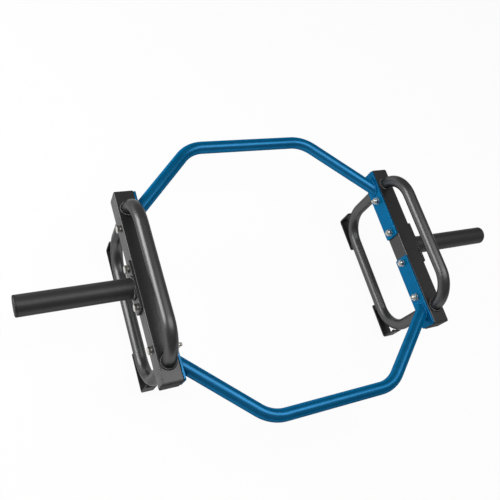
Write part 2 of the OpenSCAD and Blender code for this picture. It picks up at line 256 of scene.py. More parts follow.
class TrapBarSettings(PropertyGroup):
    """All sizes, finishes and lights of the trap bar"""
    beams: PointerProperty(type=BeamSizes, name="Beams")
    grips: PointerProperty(type=GripSizes, name="Grips")
    tubes: PointerProperty(type=TubeFrameSizes, name="Frame tubes")
    plates: PointerProperty(type=PlateSizes, name="Plates")
    sleeves: PointerProperty(type=SleeveSizes, name="Sleeves")
    fasteners: PointerProperty(type=FastenerSizes, name="Fasteners")
    welds: PointerProperty(type=WeldSizes, name="Welds")
    finishes: PointerProperty(type=Finishes, name="Finishes")
    stage: PointerProperty(type=StageLight, name="Stage")


# Mesh tools

def edges_in(geometry):
    """The edges among some geometry whose two ends are among it too."""
    found = {g for g in geometry if isinstance(g, bmesh.types.BMVert)}
    return [g for g in geometry
            if isinstance(g, bmesh.types.BMEdge) and found.issuperset(g.verts)]


def ends_of(edges):
    """The vertices of some edges, in the same order each time."""
    return list(dict.fromkeys(v for e in edges for v in e.verts))


def ring(bm, radius, place, segments=64):
    """An open circle of edges, in the plane that a matrix gives."""
    made = bmesh.ops.create_circle(bm, segments=segments, radius=radius, matrix=place)
    return list(dict.fromkeys(e for v in made["verts"] for e in v.link_edges))


def run(bm, loop, offset=(0, 0, 0)):
    """Draws a loop of edges out in a straight line and returns the new loop."""
    made = bmesh.ops.extrude_edge_only(bm, edges=loop)["geom"]
    fresh = [g for g in made if isinstance(g, bmesh.types.BMVert)]
    bmesh.ops.translate(bm, verts=fresh, vec=offset)
    return edges_in(made)


def bend(bm, loop, centre, axis, angle, steps=24):
    """Carries a loop of edges round a bend and returns the new loop."""
    made = bmesh.ops.spin(bm, geom=ends_of(loop) + loop, cent=centre, axis=axis, angle=angle,
                          steps=steps, use_duplicate=False)
    return edges_in(made["geom_last"])


def close(bm):
    """Fills every open loop and returns the new faces."""
    rims = [e for e in bm.edges if e.is_boundary]
    return bmesh.ops.holes_fill(bm, edges=rims, sides=0)["faces"]


def give_wall(bm, wall):
    """Gives an open tube its wall, inwards from its surface."""
    bmesh.ops.remove_doubles(bm, verts=bm.verts, dist=MERGE)
    caps = close(bm)
    bmesh.ops.recalc_face_normals(bm, faces=bm.faces)
    bmesh.ops.delete(bm, geom=caps, context="FACES_ONLY")
    bmesh.ops.solidify(bm, geom=bm.faces[:], thickness=wall)


def trim(bm, point, normal):
    """Cuts off what lies beyond a plane and returns the open edges of the cut."""
    cut = bmesh.ops.bisect_plane(bm, geom=bm.verts[:] + bm.edges[:] + bm.faces[:], dist=MERGE,
                                 plane_co=point, plane_no=normal, clear_outer=True)
    return edges_in(cut["geom_cut"])


def break_edges(bm, edges, width, segments):
    """Rounds edges over a width to each side."""
    bmesh.ops.bevel(bm, geom=edges, offset=width, offset_type="OFFSET", segments=segments,
                    profile=0.5, affect="EDGES", material=-1, clamp_overlap=True)


def edges_along(bm, axis):
    """The straight edges that run along an axis."""
    return [e for e in bm.edges
            if abs((e.verts[1].co - e.verts[0].co).normalized()[axis]) > ALONG]


def rim_edges(bm, axis):
    """The edges round the flat faces that look along an axis."""
    found = []
    for edge in bm.edges:
        flat = [abs(f.normal[axis]) > FACING for f in edge.link_faces]
        if len(flat) == 2 and flat[0] != flat[1]:
            found.append(edge)
    return found


def block(bm, low, high):
    """A rectangular block between two corners."""
    centre = (low + high) / 2
    size = high - low
    place = Matrix.Translation(centre) @ Matrix.Diagonal((*size, 1))
    bmesh.ops.create_cube(bm, size=1, matrix=place)
    bm.normal_update()


def lathe(bm, profile, place, closed, steps):
    """Turns a profile of (radius, height) points about the Z axis of a place."""
    one = bmesh.new()
    points = [one.verts.new((radius, 0, height)) for radius, height in profile]
    ahead = points[1:] + points[:1] if closed else points[1:]
    lines = [one.edges.new(pair) for pair in zip(points, ahead)]
    bmesh.ops.spin(one, geom=points + lines, cent=(0, 0, 0), axis=(0, 0, 1),
                   angle=2 * math.pi, steps=steps, use_merge=True, use_duplicate=False)
    bmesh.ops.remove_doubles(one, verts=one.verts, dist=MERGE)
    join(bm, one, place)


def join(bm, other, place):
    """Adds another mesh, which is used up, at a place."""
    bmesh.ops.transform(other, verts=other.verts, matrix=place)
    mesh = bpy.data.meshes.new("joined")
    other.to_mesh(mesh)
    other.free()
    bm.from_mesh(mesh)
    bpy.data.meshes.remove(mesh)


def arc(centre, radius, start, stop, steps):
    """Points (radius, height) on an arc, with its angles in degrees."""
    angles = [math.radians(start + (stop - start) * i / steps) for i in range(steps + 1)]
    return [(centre[0] + radius * math.cos(a), centre[1] + radius * math.sin(a))
            for a in angles]


def along_x(x, y):
    """A place on the beams' middle line whose Z axis looks along +X."""
    return Matrix.Translation((x, y, AXIS_Z)) @ Matrix.Rotation(math.pi / 2, 4, "Y")


def frame_of(x_axis, y_axis, z_axis, point):
    """The place at a point with these axes."""
    turn = Matrix((x_axis, y_axis, z_axis)).transposed().to_4x4()
    return Matrix.Translation(point) @ turn


def drill(bm, low_x, high_x, rows, fasteners):
    """Cuts the bolts' holes clean through a piece, one in each row across the beam."""
    radius = (fasteners.bolt_d + fasteners.hole_gap) / 2
    beyond = 0.01
    cutter = bmesh.new()
    for y in rows:
        bmesh.ops.create_cone(cutter, cap_ends=True, segments=32, radius1=radius,
                              radius2=radius, depth=high_x - low_x + 2 * beyond,
                              matrix=along_x((low_x + high_x) / 2, y))
    plain = as_object(bm, "drilled")
    tool = as_object(cutter, "drill")
    cutter.free()
    hole = plain.modifiers.new("holes", "BOOLEAN")
    hole.operation = "DIFFERENCE"
    hole.solver = "EXACT"
    hole.object = tool
    bpy.context.view_layer.update()
    cut = bpy.data.meshes.new_from_object(
        plain.evaluated_get(bpy.context.evaluated_depsgraph_get()))
    bm.clear()
    bm.from_mesh(cut)
    # Removing a mesh takes its object with it
    for mesh in (plain.data, tool.data, cut):
        bpy.data.meshes.remove(mesh)


def as_object(bm, name):
    """A scene object with a copy of a mesh."""
    mesh = bpy.data.meshes.new(name)
    bm.to_mesh(mesh)
    made = bpy.data.objects.new(name, mesh)
    bpy.context.scene.collection.objects.link(made)
    return made


def add_piece(bm, node, finish):
    """Turns a finished mesh into the piece that stands for a node of the construction."""
    bmesh.ops.remove_doubles(bm, verts=bm.verts, dist=MERGE)
    bmesh.ops.recalc_face_normals(bm, faces=bm.faces)
    open_edges = sum(not e.is_manifold for e in bm.edges)
    if open_edges:
        raise RuntimeError(f"{node} has {open_edges} open or doubled edges")
    piece = as_object(bm, f"finished_{node}")
    piece.data.shade_smooth()
    piece.data.set_sharp_from_angle(angle=SHARP)
    shading = piece.modifiers.new("even shading", "WEIGHTED_NORMAL")
    shading.keep_sharp = True
    piece.data.materials.append(finish)
    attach(piece, "root")
    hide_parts(node)
    return piece


def make(context, build, finish, copies=SIDES):
    """Builds a piece once for each of its copies, and turns or mirrors it into place.

    The function that builds it has the piece's name.
    """
    settings = context.scene.trap_bar
    for place, scale in copies:
        bm = bmesh.new()
        build(bm, settings)
        bmesh.ops.scale(bm, verts=bm.verts, vec=scale)
        add_piece(bm, f"{build.__name__}_{place}", finish(settings))
        bm.free()
    return {"FINISHED"}


# Shader tools

def new_group(name, inputs, outputs):
    """An empty shader node group with named numbers as its sockets, and its two end nodes."""
    group = bpy.data.node_groups.new(name, "ShaderNodeTree")
    kind = "NodeSocketFloat"
    for label, value in inputs.items():
        socket = group.interface.new_socket(label, in_out="INPUT", socket_type=kind)
        socket.default_value = value
    for label in outputs:
        group.interface.new_socket(label, in_out="OUTPUT", socket_type=kind)
    return group, group.nodes.new("NodeGroupInput"), group.nodes.new("NodeGroupOutput")


def put(tree, socket, value):
    """Sets a socket, or links another one into it."""
    if isinstance(value, bpy.types.NodeSocket):
        tree.links.new(value, socket)
    else:
        socket.default_value = value


def fill(tree, node, **inputs):
    """Puts values or sockets into a node's inputs. An underscore stands for a space."""
    for label, value in inputs.items():
        put(tree, node.inputs[label.replace("_", " ")], value)
    return node


def math_node(tree, operation, *values, clamp=False):
    """A Math node on two values, which are sockets or numbers."""
    node = tree.nodes.new("ShaderNodeMath")
    node.operation = operation
    node.use_clamp = clamp
    for socket, value in zip(node.inputs, values):
        put(tree, socket, value)
    return node.outputs[0]


def noise_node(tree, scale, detail=2.0, roughness=0.5):
    """A Noise texture on Object coordinates."""
    place = tree.nodes.new("ShaderNodeTexCoord").outputs["Object"]
    node = tree.nodes.new("ShaderNodeTexNoise")
    fill(tree, node, Vector=place, Scale=scale, Detail=detail, Roughness=roughness)
    return node.outputs["Fac"]


def spread(tree, value, from_low, from_high, to_low, to_high):
    """Maps a value from one range to another, smoothly and clamped."""
    node = tree.nodes.new("ShaderNodeMapRange")
    node.interpolation_type = "SMOOTHSTEP"
    fill(tree, node, Value=value, From_Min=from_low, From_Max=from_high, To_Min=to_low,
         To_Max=to_high)
    return node.outputs["Result"]


def orange_peel():
    """Group: the pebbled skin and the faint mottling of a sprayed or powder coat."""
    group = bpy.data.node_groups.get("orange_peel")
    if group:
        return group
    group, start, end = new_group("orange_peel", {"Scale": 900.0}, ("Height", "Mottle"))
    pebbles = noise_node(group, start.outputs["Scale"], detail=1.0)
    # Between the pebbles the coat also runs in longer, lower waves
    wide = math_node(group, "MULTIPLY", start.outputs["Scale"], 0.22)
    waves = noise_node(group, wide, detail=1.0)
    height = math_node(group, "ADD", math_node(group, "MULTIPLY", pebbles, 0.6),
                       math_node(group, "MULTIPLY", waves, 0.4))
    clouds = noise_node(group, 38.0, detail=4.0, roughness=0.6)
    fill(group, end, Height=height, Mottle=spread(group, clouds, 0.3, 0.7, 0.0, 1.0))
    return group


def edge_rub():
    """Group: a mask of the edges and corners where a coat is thin and polished by handling."""
    group = bpy.data.node_groups.get("edge_rub")
    if group:
        return group
    group, start, end = new_group("edge_rub", {"Width": 0.001, "Patches": 120.0}, ("Mask",))
    rounded = fill(group, group.nodes.new("ShaderNodeBevel"), Radius=start.outputs["Width"])
    rounded.samples = 6
    plain = group.nodes.new("ShaderNodeNewGeometry")
    match = group.nodes.new("ShaderNodeVectorMath")
    match.operation = "DOT_PRODUCT"
    group.links.new(rounded.outputs["Normal"], match.inputs[0])
    group.links.new(plain.outputs["Normal"], match.inputs[1])
    # On an edge the rounded normal leaves the plain one, so their product falls below 1
    edge = spread(group, match.outputs["Value"], 0.995, 0.86, 0.0, 1.0)
    patches = spread(group, noise_node(group, start.outputs["Patches"], detail=3.0),
                     0.35, 0.6, 0.35, 1.0)
    fill(group, end, Mask=math_node(group, "MULTIPLY", edge, patches))
    return group


def handling():
    """Group: a mask of faint smudges and dust, for small changes of gloss."""
    group = bpy.data.node_groups.get("handling")
    if group:
        return group
    group, start, end = new_group("handling", {"Scale": 14.0}, ("Mask",))
    smudges = noise_node(group, start.outputs["Scale"], detail=5.0, roughness=0.65)
    fill(group, end, Mask=spread(group, smudges, 0.35, 0.68, 0.0, 1.0))
    return group


def place_group(tree, group, **inputs):
    """A node that uses a group, with its own values."""
    node = tree.nodes.new("ShaderNodeGroup")
    node.node_tree = group
    return fill(tree, node, **inputs)


def mix_colours(tree, factor, first, second):
    """A mix of two colours, each a socket or three numbers, by a socket."""
    node = fill(tree, tree.nodes.new("ShaderNodeMix"), Factor=factor)
    node.data_type = "RGBA"
    colours = [socket for socket in node.inputs if socket.type == "RGBA"]
    for socket, value in zip(colours, (first, second)):
        put(tree, socket, value if isinstance(value, bpy.types.NodeSocket) else (*value, 1))
    return next(socket for socket in node.outputs if socket.type == "RGBA")


def tinted(rgb, factor):
    """A colour made lighter or darker."""
    return tuple(min(1.0, channel * factor) for channel in rgb)


def towards_eye(tree, most, least, fade):
    """A value that is high where a surface faces the viewer and low at a glancing angle.

    Its Layer Weight stays in the material, because the export can't read one in a group.
    """
    weight = fill(tree, tree.nodes.new("ShaderNodeLayerWeight"), Blend=0.5)
    return spread(tree, weight.outputs["Facing"], fade - FADE_SPAN, fade, most, least)


def new_material(name):
    """A new material, its node tree and its shader."""
    material = bpy.data.materials.new(name)
    material.use_nodes = True
    return material, material.node_tree, material.node_tree.nodes["Principled BSDF"]


def pressed(tree, height, strength, distance):
    """The normal of a surface with a height pressed into it."""
    bump = fill(tree, tree.nodes.new("ShaderNodeBump"), Strength=strength, Distance=distance,
                Height=height)
    return bump.outputs["Normal"]


def add_film(tree, shader, most, least, fade, gloss):
    """A clear film, which gives a surface most of its gloss and fades at a glancing angle."""
    fill(tree, shader, Coat_Weight=towards_eye(tree, most, least, fade), Coat_Roughness=gloss,
         Coat_IOR=FILM_IOR)


def body_colour(tree, rgb, skin, rubbed, dark, light, rub):
    """A colour mottled from a dark to a light tint, with another one on rubbed edges."""
    body = mix_colours(tree, skin.outputs["Mottle"], tinted(rgb, dark), tinted(rgb, light))
    return mix_colours(tree, rubbed.outputs["Mask"], body, tinted(rgb, rub))


def coated_steel(name, rgb, gloss, grain, depth, rub=1.5, metallic=0.0, film=1.0, fade=FADE):
    """A powder coat or paint on steel: pebbled, faintly mottled and thinner on its edges."""
    found = bpy.data.materials.get(name)
    if found:
        return found
    relief = 0.0002
    material, tree, shader = new_material(name)
    skin = place_group(tree, orange_peel(), Scale=1 / grain)
    rubbed = place_group(tree, edge_rub(), Width=0.0012, Patches=140.0)
    touched = place_group(tree, handling(), Scale=16.0)
    dull = spread(tree, touched.outputs["Mask"], 0.0, 1.0, gloss - 0.03, gloss + 0.05)
    polish = math_node(tree, "MULTIPLY", rubbed.outputs["Mask"], -0.06)
    pebbles = noise_node(tree, 1 / grain, detail=1.0)
    add_film(tree, shader, film, 0.1 * film, fade, gloss)
    fill(tree, shader, Base_Color=body_colour(tree, rgb, skin, rubbed, 0.93, 1.07, rub),
         Roughness=math_node(tree, "ADD", dull, polish),
         Normal=pressed(tree, skin.outputs["Height"], depth, relief),
         Coat_Normal=pressed(tree, pebbles, depth, relief),
         Specular_IOR_Level=0.0 if metallic else 0.1)
    if metallic:
        fill(tree, shader, Metallic=towards_eye(tree, metallic, 0.0, FADE))
    return material


def coat(name, field, gloss, depth, **more):
    """The finish of a coat: a function that gives its material, in a colour of the settings."""
    def finish(settings):
        looks = settings.finishes
        return coated_steel(name, getattr(looks, field), gloss, looks.grain, depth, **more)
    return finish


# Satin on the beams, glossier where the coat has flowed over a weld, and matt on feet and sleeves
beam_coat = coat("charcoal_beam_coat", "beam", 0.26, 0.12, film=0.6)
grip_coat = coat("charcoal_grip_coat", "grip", 0.34, 0.03)
weld_coat = coat("charcoal_weld_coat", "beam", 0.2, 0.2)
foot_coat = coat("black_foot_coat", "foot", 0.5, 0.3, rub=2.2, film=0.4)
sleeve_coat = coat("black_sleeve_coat", "sleeve", 0.46, 0.3, rub=1.8, film=0.5)
frame_paint = coat("blue_frame_paint", "paint", 0.31, 0.04, rub=1.3, metallic=0.58, film=0.28,
                   fade=0.38)


def zinc_plating(settings):
    """Bright zinc plating, faintly cloudy and yellowed, with fine forming marks."""
    found = bpy.data.materials.get("bright_zinc")
    if found:
        return found
    material, tree, shader = new_material("bright_zinc")
    zinc = settings.finishes.zinc
    yellowed = (zinc[0], zinc[1] * 0.96, zinc[2] * 0.86)
    clouds = spread(tree, noise_node(tree, 260.0, detail=4.0), 0.35, 0.65, 0.0, 1.0)
    rough = spread(tree, noise_node(tree, 700.0, detail=3.0), 0.3, 0.7, 0.2, 0.36)
    fill(tree, shader, Metallic=1.0, Base_Color=mix_colours(tree, clouds, zinc, yellowed),
         Roughness=rough, Normal=pressed(tree, noise_node(tree, 1500.0), 0.25, 0.0001))
    return material


def plug_plastic(settings):
    """Black moulded plastic with a fine spark-eroded grain and a soft sheen."""
    found = bpy.data.materials.get("black_plug_plastic")
    if found:
        return found
    material, tree, shader = new_material("black_plug_plastic")
    skin = place_group(tree, orange_peel(), Scale=2200.0)
    rubbed = place_group(tree, edge_rub(), Width=0.0009, Patches=200.0)
    touched = place_group(tree, handling(), Scale=30.0)
    plastic = settings.finishes.plug
    add_film(tree, shader, 0.45, 0.03, FADE, 0.4)
    fill(tree, shader, Base_Color=body_colour(tree, plastic, skin, rubbed, 0.9, 1.15, 2.0),
         Roughness=spread(tree, touched.outputs["Mask"], 0.0, 1.0, 0.52, 0.62),
         Normal=pressed(tree, skin.outputs["Height"], 0.35, 0.0001),
         Specular_IOR_Level=0.05)
    return material


# Pieces, each drawn into a mesh on the right-hand side and at the rear

def bolt_rows(fasteners):
    """Where the four bolts stand along a beam, from front to rear."""
    return -fasteners.far, -fasteners.near, fasteners.near, fasteners.far


def side_beam(bm, settings):
    """Square tube with rounded corners and four bolt holes right through it."""
    sizes = settings.beams
    block(bm, beam_low, beam_high)
    break_edges(bm, edges_along(bm, 1), sizes.corner, 6)
    caps = [f for f in bm.faces if abs(f.normal.y) > FACING]
    bmesh.ops.inset_region(bm, faces=caps, thickness=sizes.wall, use_even_offset=True)
    bmesh.ops.delete(bm, geom=caps, context="FACES_ONLY")
    bmesh.ops.remove_doubles(bm, verts=bm.verts, dist=NEAR)
    bmesh.ops.bridge_loops(bm, edges=[e for e in bm.edges if e.is_boundary])
    drill(bm, BEAM_IN, BEAM_OUT, bolt_rows(settings.fasteners), settings.fasteners)


def square_rings(bm, steps):
    """Stacks rounded squares, each a (half width, corner radius, height), and closes both ends."""
    turned = bm.verts.layers.float.new("turned")
    side = math.pi / 2
    count = 8
    loop = ring(bm, 1, Matrix.Rotation(side / count / 2, 4, "Z"), 4 * count)
    for vert in bm.verts:
        angle = math.atan2(vert.co.y, vert.co.x) % (4 * side)
        within = (angle % side - side / count / 2) * count / (count - 1)
        vert[turned] = angle // side * side + within
    for i, (half, corner, height) in enumerate(steps):
        if i:
            loop = run(bm, loop)
        inner = half - corner
        for vert in ends_of(loop):
            across = Vector((math.cos(vert[turned]), math.sin(vert[turned])))
            middle = Vector((math.copysign(inner, vert.co.x), math.copysign(inner, vert.co.y)))
            vert.co.xy = middle + corner * across
            vert.co.z = height
    close(bm)


def beam_plug(bm, settings):
    """Square plug: a crowned lip with a rounded edge, and a hollow stem inside the tube."""
    sizes = settings.beams
    seat = beam_high.y
    lip = corners("beam_plug_right_rear")[1].y - seat - sizes.plug_crown
    half = (BEAM_OUT - BEAM_IN) / 2
    stem = half - sizes.wall - sizes.plug_gap
    hollow = stem - sizes.plug_wall
    half -= sizes.plug_gap
    edge = sizes.plug_edge
    bevel = 0.0005
    stem_corner = 0.001
    skin = 0.001
    steps = [(bevel, bevel / 5, skin), (hollow, bevel, skin), (hollow, bevel, -sizes.plug_stem),
             (stem, stem_corner, -sizes.plug_stem), (stem, stem_corner, 0),
             (half - bevel, sizes.corner - bevel, 0), (half, sizes.corner, bevel)]
    arc_steps = 6
    for i in range(arc_steps + 1):
        angle = math.pi / 2 * i / arc_steps
        drawn_in = edge * (1 - math.cos(angle))
        steps.append((half - drawn_in, sizes.corner - 0.5 * drawn_in,
                      lip - edge * (1 - math.sin(angle))))
    # The crown, as shares of the face's width and of its rise
    crown = ((0.75, 0.45), (0.5, 0.75), (0.25, 0.93), (0.02, 1))
    for width, rise in crown:
        steps.append(((half - edge) * width, sizes.corner * width * 0.5,
                      lip + sizes.plug_crown * rise))
    square_rings(bm, steps)
    place = Matrix.Translation((BEAM_MID, seat, AXIS_Z)) @ Matrix.Rotation(-math.pi / 2, 4, "X")
    bmesh.ops.transform(bm, verts=bm.verts[:], matrix=place)


def grip_path(bm, leg, bend_r, up):
    """An open tube bent to a U, from the beams' middle up or down and back."""
    bend_y = GRIP_HALF - bend_r
    turn = up * math.pi / 2
    level = AXIS_Z + up * leg
    place = Matrix.Translation((BEAM_MID, GRIP_HALF, AXIS_Z))
    loop = ring(bm, GRIP_R, place)
    loop = run(bm, loop, (0, 0, up * leg))
    loop = bend(bm, loop, (BEAM_MID, bend_y, level), (1, 0, 0), turn)
    loop = run(bm, loop, (0, -2 * bend_y, 0))
    loop = bend(bm, loop, (BEAM_MID, -bend_y, level), (1, 0, 0), turn)
    run(bm, loop, (0, 0, -up * leg))


def grip(bm, settings, reach, up, seat):
    """A bent round tube whose two ends stand on the beam's top or underside."""
    sizes = settings.grips
    grip_path(bm, reach - sizes.bend, sizes.bend, up)
    give_wall(bm, sizes.wall)
    cut = trim(bm, (0, 0, seat), (0, 0, -up))
    for y in (1, -1):
        bmesh.ops.bridge_loops(bm, edges=[e for e in cut if e.verts[0].co.y * y > 0])


def raised_grip(bm, settings):
    """The grip on top of the beam."""
    grip(bm, settings, RAISED_RISE, 1, BEAM_TOP)


def lower_grip(bm, settings):
    """The deeper grip under the beam."""
    grip(bm, settings, LOWER_DROP, -1, BEAM_UNDER)


def foot(bm, settings):
    """A flat bar bent square round the lower outer corner of a lowered grip."""
    sizes = settings.grips
    thickness, bend_r = sizes.foot_thickness, sizes.foot_bend
    # A ring of four corners, turned and stretched into the bar's section
    section = Matrix.Translation((BEAM_MID, foot_low.y, thickness / 2)) \
        @ Matrix.Rotation(math.pi / 2, 4, "X") \
        @ Matrix.Diagonal((foot_high.x - foot_low.x, thickness, 1, 1)) \
        @ Matrix.Rotation(math.pi / 4, 4, "Z")
    loop = ring(bm, math.sqrt(0.5), section, 4)
    loop = run(bm, loop, (0, foot_high.y - bend_r - foot_low.y, 0))
    loop = bend(bm, loop, (BEAM_MID, foot_high.y - bend_r, bend_r), (1, 0, 0), math.pi / 2, 8)
    run(bm, loop, (0, 0, foot_high.z - bend_r))
    bmesh.ops.holes_fill(bm, edges=bm.edges[:], sides=4)
    bmesh.ops.recalc_face_normals(bm, faces=bm.faces)
    ends = [e for e in edges_along(bm, 2) if e.verts[0].co.y < foot_low.y + NEAR]
    ends += [e for e in edges_along(bm, 1) if e.verts[0].co.z > foot_high.z - NEAR]
    break_edges(bm, ends, sizes.foot_corner, 5)
    sharp = [e for e in bm.edges if e.calc_face_angle(0) > SHARP]
    break_edges(bm, sharp, settings.plates.edge, 2)


def plate(bm, low, high, corner, edge):
    """A flat bar with rounded corners, seen along X, and broken edges."""
    block(bm, low, high)
    break_edges(bm, edges_along(bm, 0), corner, 8)
    bm.normal_update()
    break_edges(bm, rim_edges(bm, 0), edge, 3)


def sleeve_flange(bm, settings):
    """The plate that the sleeve is welded to."""
    sizes, fasteners = settings.plates, settings.fasteners
    plate(bm, flange_low, flange_high, sizes.flange_corner, sizes.edge)
    drill(bm, flange_low.x, flange_high.x, (-fasteners.near, fasteners.near), fasteners)


def bracket(bm, settings):
    """The plate at the end of a frame tube."""
    sizes, fasteners = settings.plates, settings.fasteners
    plate(bm, bracket_low, bracket_high, sizes.bracket_corner, sizes.edge)
    drill(bm, bracket_low.x, bracket_high.x, (fasteners.near, fasteners.far), fasteners)


def sleeve(bm, settings):
    """Round tube with a broken outer rim."""
    sizes = settings.sleeves
    inner = SLEEVE_R - sizes.wall
    total = SLEEVE_END - FLANGE_OUT
    edge = sizes.edge
    profile = [(inner, 0), (SLEEVE_R, 0), (SLEEVE_R, total - edge)]
    profile += arc((SLEEVE_R - edge, total - edge), edge, 0, 90, 3)[1:]
    profile += [(inner, total)]
    lathe(bm, profile, along_x(FLANGE_OUT, 0), True, 96)


def sleeve_plug(bm, settings):
    """Round plug with a well rounded lip, a shallow dish in its face and a hollow stem."""
    sizes = settings.sleeves
    lip, rounding, groove = sizes.plug_lip, sizes.plug_round, sizes.plug_groove
    depth = corners("sleeve_plug_right")[0].x - SLEEVE_END
    stem_r = SLEEVE_R - sizes.wall - sizes.plug_gap
    hollow_r = stem_r - sizes.plug_wall
    skin = -0.0002
    # The face from its middle outwards, as radii and how far they are sunk under the lip
    face = ((0, 0.0009), (0.009, 0.0009), (0.0095, 0.0004), (0.0115, 0.0002))
    profile = [(radius, lip - sunk) for radius, sunk in face]
    profile += arc((SLEEVE_R - rounding, lip - rounding), rounding, 84, 0, 7)
    profile += [(SLEEVE_R, groove), (SLEEVE_R - groove, 0), (stem_r, 0), (stem_r, depth),
                (hollow_r, depth), (hollow_r, skin), (0, skin)]
    lathe(bm, profile, along_x(SLEEVE_END, 0), False, 96)


def frame_slant(sizes):
    """Angle of a frame tube's slanted stretch from the X axis."""
    return math.atan2(FRAME_REACH - sizes.joint, BRACKET_IN - sizes.corner)


def frame_tube(bm, settings):
    """The bent tube at the rear, from bracket to bracket."""
    sizes = settings.tubes
    slant = frame_slant(sizes)
    tangent = sizes.bend * math.tan(slant / 2)
    straight = sizes.corner - tangent
    slope = math.hypot(FRAME_REACH - sizes.joint, BRACKET_IN - sizes.corner)
    # The tube is drawn past the bracket's face, and trimmed there
    slope += 2 * FRAME_R - tangent
    loop = ring(bm, FRAME_R, along_x(0, FRAME_REACH))
    loop = run(bm, loop, (straight, 0, 0))
    centre = (straight, FRAME_REACH - sizes.bend, AXIS_Z)
    loop = bend(bm, loop, centre, (0, 0, 1), -slant, 20)
    run(bm, loop, (slope * math.cos(slant), -slope * math.sin(slant), 0))
    bmesh.ops.mirror(bm, geom=bm.verts[:] + bm.edges[:] + bm.faces[:], axis="X",
                     merge_dist=MERGE)
    give_wall(bm, sizes.wall)
    for x in (1, -1):
        cut = trim(bm, (x * BRACKET_IN, 0, 0), (x, 0, 0))
        bmesh.ops.bridge_loops(bm, edges=cut)


def hex_rings(bm, flats, steps):
    """Builds a body in rings from (radius, height) steps, where None is a hexagon's radius.

    A height may be a function of the radius.
    """
    sector = math.pi / 3
    loop = ring(bm, 1, Matrix(), 48)
    for i, (radius, height) in enumerate(steps):
        if i:
            loop = run(bm, loop)
        for vert in ends_of(loop):
            angle = math.atan2(vert.co.y, vert.co.x)
            reach = radius or flats / 2 / math.cos(angle % sector - sector / 2)
            rise = height(reach) if callable(height) else height
            vert.co = (reach * math.cos(angle), reach * math.sin(angle), rise)


def chamfered(height, flats, way):
    """The height of a hexagon's end where a 30 degree cone cuts its corners."""
    crown = flats / 2 * CROWN
    return lambda radius: height - way * max(0, radius - crown) * math.tan(math.pi / 6)


def bolt_head(bm, flats, height):
    """Hexagonal head from z = 0 to its height, chamfered on top and closed."""
    bevel = 0.0004
    crown = flats / 2 * CROWN
    hex_rings(bm, flats, [(bevel, 0), (flats / 2 * 0.96, 0), (None, bevel),
                          (None, chamfered(height, flats, 1)), (crown, height), (bevel, height)])
    close(bm)


def bolt_shank(bm, sizes):
    """Plain shank, threaded core and chamfered tip, downwards from z = 0."""
    radius = sizes.bolt_d / 2
    core = radius - THREAD_DEPTH * sizes.pitch - 0.00005
    total = sizes.bolt_length
    start = total - sizes.threaded
    profile = [(0, 0.001), (radius, 0.001), (radius, -start), (core, -start - TIP / 2),
               (core, -total + TIP), (core - TIP, -total), (0, -total)]
    lathe(bm, profile, Matrix(), False, 32)


def thread(bm, sizes):
    """A helical thread ridge round the core, which fades out at both ends."""
    pitch = sizes.pitch
    crest = sizes.bolt_d / 2
    root = crest - THREAD_DEPTH * pitch
    turns = int((sizes.threaded - 2 * pitch) / pitch)
    bottom = -sizes.bolt_length + TIP
    top = bottom + pitch * (turns + 1)
    sketch = [(root, 0.0), (crest, 0.4), (crest, 0.52), (root, 0.92), (root, 1.0)]
    points = [bm.verts.new((radius, 0, bottom + rise * pitch)) for radius, rise in sketch]
    lines = [bm.edges.new(pair) for pair in zip(points, points[1:])]
    steps = 20
    bmesh.ops.spin(bm, geom=points + lines, cent=(0, 0, 0), axis=(0, 0, 1),
                   dvec=(0, 0, pitch / steps), angle=2 * math.pi * turns,
                   steps=steps * turns, use_merge=False, use_duplicate=False)
    bmesh.ops.remove_doubles(bm, verts=bm.verts, dist=20 * MERGE)
    for vert in bm.verts:
        fade = min(1, (vert.co.z - bottom) / pitch, (top - vert.co.z) / pitch)
        limit = root + (crest - root) * max(0, fade)
        radius = vert.co.xy.length
        if radius > limit:
            vert.co.xy *= limit / radius
    close(bm)


def outer_seat(y):
    """The outer face that a bolt's washer lies on, the flange's or the beam's."""
    return FLANGE_OUT if abs(y) < FLANGE_HALF else BEAM_OUT


def bolts(bm, settings):
    """Four hexagon bolts with their heads outside, each turned its own way."""
    sizes = settings.fasteners
    for y in bolt_rows(sizes):
        one = bmesh.new()
        thread(one, sizes)
        bolt_head(one, sizes.flats, sizes.head)
        bolt_shank(one, sizes)
        turn = Matrix.Rotation(7.3 * y / sizes.near, 4, "Z")
        join(bm, one, along_x(outer_seat(y) + sizes.washer_t, y) @ turn)


def washer_profile(sizes):
    """Section of a washer with its stamped, rounded edge."""
    bore = (sizes.bolt_d + sizes.bore_gap) / 2
    outer = sizes.washer_d / 2
    thick = sizes.washer_t
    edge = 0.0004
    return [(bore, 0), (outer - edge / 2, 0), (outer, edge / 2), (outer, thick - edge),
            (outer - edge * 0.3, thick - edge * 0.3), (outer - edge, thick), (bore + edge, thick),
            (bore, thick - edge)]


def outer_washers(bm, settings):
    """Washers under the bolt heads."""
    sizes = settings.fasteners
    for y in bolt_rows(sizes):
        lathe(bm, washer_profile(sizes), along_x(outer_seat(y), y), True, 48)


def inner_washers(bm, settings):
    """Washers under the nuts."""
    sizes = settings.fasteners
    flip = Matrix.Rotation(math.pi, 4, "Y")
    for y in bolt_rows(sizes):
        lathe(bm, washer_profile(sizes), along_x(BRACKET_IN, y) @ flip, True, 48)


